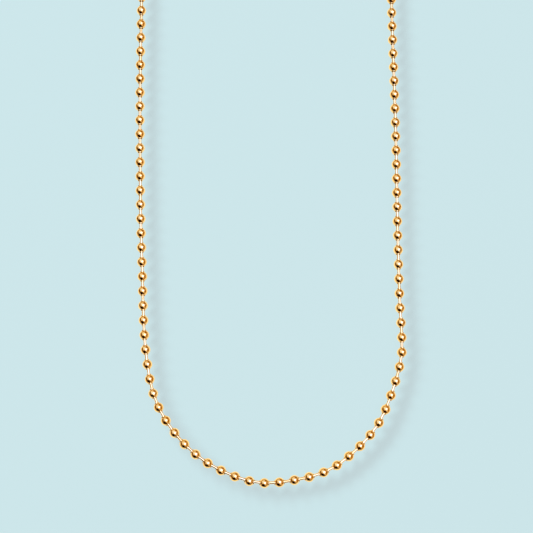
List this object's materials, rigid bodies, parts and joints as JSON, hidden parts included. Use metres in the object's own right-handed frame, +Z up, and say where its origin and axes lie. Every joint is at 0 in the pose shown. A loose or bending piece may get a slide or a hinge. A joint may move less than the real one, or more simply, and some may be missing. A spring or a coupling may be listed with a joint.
{
  "type": "ball chain necklace",
  "caption": "Closed ball chain necklace in gilt brass, laid out flat as a long loop, with a slotted barrel clasp and a small round tag on a jump ring.",
  "frame": {"origin": "on the table, under the middle of the loop's box", "axes": "+Y along the loop from its front to the clasp at its back, +X across it, +Z up from the table"},
  "size_m": [0.0706, 0.1774, 0.004],
  "materials": {
    "bead_gilt": "polished gilt, with fine scratches",
    "link_gilt": "polished drawn wire",
    "clasp_gilt": "polished gilt sheet",
    "ring_gilt": "polished drawn wire",
    "tag_gilt": "polished, slightly domed"
  },
  "bodies": {
    "root": {"beads": "bead_gilt", "links": "link_gilt", "clasp_barrel": "clasp_gilt", "jump_ring": "ring_gilt", "tag_disc": "tag_gilt"}
  },
  "joints": []
}
